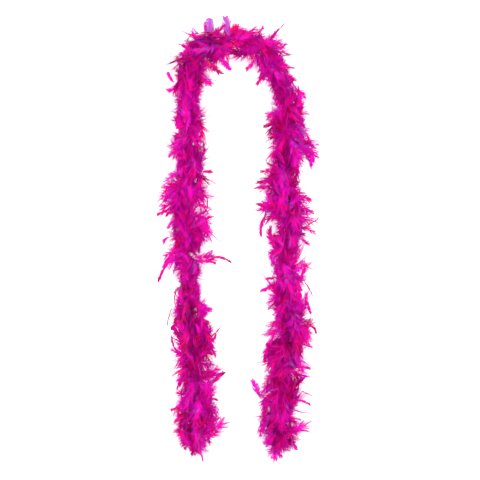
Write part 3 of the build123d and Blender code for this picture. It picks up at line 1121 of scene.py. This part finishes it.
# The barbs at the tip run on past the quill, so the quill stops short of the tip.
QUILL_SHARE = {"leaf": 0.86, "slim": 0.92, "ribbon": 0.92, "spike": 1.0, "plume": 0.80}
PLACED_SIZE = 1.3  # they are the largest feathers of the boa
PLACED_LOOSE = 0.3
PLACED_TWIST = 0.3
SMOOTH_RUFFLE, USUAL_RUFFLE = 0.15, 0.9


def placed_feather(rng, kind, root, tip, bow, size, tone):
    """A feather whose root and tip are given, bowed sideways between them."""
    start = np.array([root[0] * MM, root[1] * MM, ROOT_HEIGHT])
    chord = (np.array([tip[0] * MM, tip[1] * MM, TIP_HEIGHT]) - start) * QUILL_SHARE[kind]
    level = unit(np.cross([0.0, 0.0, 1.0], chord))
    face = unit(np.cross(chord, level))
    t = np.linspace(0, 1, 33)
    ahead, aside = np.cos(bow * t).mean(), np.sin(bow * t).mean()
    off = math.atan2(aside, ahead)
    forward = unit(chord) * math.cos(off) - level * math.sin(off)
    length = np.linalg.norm(chord) / math.hypot(ahead, aside)
    smooth = kind in ("leaf", "ribbon")
    roll, ruffle = (0.0, SMOOTH_RUFFLE) if smooth else (rng.normal(0, 0.35), USUAL_RUFFLE)
    shape = (length, 0.0, bow, roll, PLACED_TWIST, tone)
    return feather(rng, kind, start, forward, face, *shape, PLACED_SIZE * size, PLACED_LOOSE, ruffle)


def cord_distance(x, y):
    """How far along the cord the place nearest to (x, y) in millimetres is."""
    return cord_distances[np.argmin(np.hypot(cord_points[:, 0] - x * MM, cord_points[:, 1] - y * MM))]


def placed_feathers(rng, distance, spacing):
    """The placed feathers that are rooted in the bunch at this distance."""
    parts = []
    for kind, root, tip, bow, size, tone in STANDING_OUT:
        if -spacing / 2 <= cord_distance(*root) - distance < spacing / 2:
            parts += placed_feather(rng, kind, root, tip, bow, size, tone)
    return parts


print("the first one is rooted", round(cord_distance(*STANDING_OUT[0][1]), 3), "m along the cord")

# %% [markdown]
# ## Bunch after bunch along both halves
#
# Every bunch is one piece that stands for its bunch in the solid model. The boa folds
# at the middle, where it goes round the neck. The bunches near the fold join neither
# half and keep their place baked into their mesh, and the rest move with their own half.

# %% Every bunch of both halves
BUNCHES = 22  # in each half
BENDS_FROM = 19  # bunches from this number on join neither half
COLLAR = 12 * MM  # the stretch of cord that the thread of a bunch is wound on
COLLAR_RADIUS = 2.9 * MM
COLLAR_TURNS = 7
faces_made = 0
for side in ("left", "right"):
    half = FOLD_DISTANCE if side == "left" else CORD_LENGTH - FOLD_DISTANCE
    end_way = -1 if side == "left" else 1
    spacing = half / BUNCHES
    for number in range(1, BUNCHES + 1):
        from_end = (number - 0.5) * half / BUNCHES
        distance = from_end if side == "left" else CORD_LENGTH - from_end
        rng = np.random.default_rng([number, end_way + 1, 7])
        parts = tufts(rng, distance, spacing, end_way)
        parts += filling(rng, distance, spacing)
        parts += placed_feathers(rng, distance, spacing)
        collar_ends = (distance - COLLAR / 2, distance + COLLAR / 2)
        parts.append(winding(*collar_ends, COLLAR_RADIUS, COLLAR_TURNS, THREAD_NUMBER))
        piece = mesh_object(f"feathers_{side}_{number:02d}", parts, [FEATHER, QUILL, THREAD])
        bend_or_ride(piece, f"{side}_half", number >= BENDS_FROM)
        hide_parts(f"feather_bunch_{side}_{number:02d}")
        faces_made += len(piece.data.polygons)
feathers_made = 2 * BUNCHES * (TUFTS * TUFT_FEATHERS + TOP_FEATHERS + UNDER_FEATHERS) + len(STANDING_OUT)
print(2 * BUNCHES, "bunches,", feathers_made, "feathers,", faces_made, "faces")

# %% [markdown]
# ## The table
#
# A boa is sold on a pure white ground with hardly a shadow. Matt white paper comes
# close, and a little light of its own takes it the rest of the way, as a lit table
# does. It is part of the stage and not of the boa.

# %% White paper under the boa
PAPER_HALF = 6  # metres from the middle to each edge

corners = [(-PAPER_HALF, -PAPER_HALF, 0), (PAPER_HALF, -PAPER_HALF, 0)]
corners += [(PAPER_HALF, PAPER_HALF, 0), (-PAPER_HALF, PAPER_HALF, 0)]
floor_mesh = bpy.data.meshes.new("floor")
floor_mesh.from_pydata(corners, [], [(0, 1, 2, 3)])
floor = bpy.data.objects.new("floor", floor_mesh)
bpy.context.scene.collection.objects.link(floor)
paper, tree = new_material("matte_white_paper")
surface = add(
    tree,
    "ShaderNodeBsdfPrincipled",
    inputs={
        "Base Color": linear("#f6f6f6"),
        "Roughness": 0.9,
        "Emission Color": linear("#ffffff"),
        "Emission Strength": 0.5,
    },
)
add(tree, "ShaderNodeOutputMaterial", inputs={"Surface": surface.outputs[0]})
floor_mesh.materials.append(paper)
print("paper:", 2 * PAPER_HALF, "m across")

# %% [markdown]
# ## Soft light
#
# Feathers need light from everywhere, or their barbs turn to black lines. A white
# sky gives most of it. A large softbox from the upper left picks out the quills and
# the locks, and a weaker one from the lower right keeps the shaded side open.

# %% Two softboxes and a white sky
SKY_STRENGTH = 1.6


def softbox(name, location, size, watts):
    """A square area light that points at the middle of the table."""
    lamp = bpy.data.lights.new(name, "AREA")
    lamp.shape = "SQUARE"
    lamp.size = size
    lamp.energy = watts
    thing = bpy.data.objects.new(name, lamp)
    thing.location = location
    thing.rotation_euler = (-Vector(location)).to_track_quat("-Z", "Y").to_euler()
    bpy.context.scene.collection.objects.link(thing)


softbox("key_softbox", (-0.9, 0.9, 1.9), 1.0, 11)
softbox("fill_softbox", (1.3, -0.6, 1.7), 1.6, 6)
world = bpy.data.worlds.new("white_studio")
world.use_nodes = True
background = world.node_tree.nodes["Background"]
background.inputs["Color"].default_value = linear("#ffffff")
background.inputs["Strength"].default_value = SKY_STRENGTH
bpy.context.scene.world = world
print("lights:", len(bpy.data.lights))
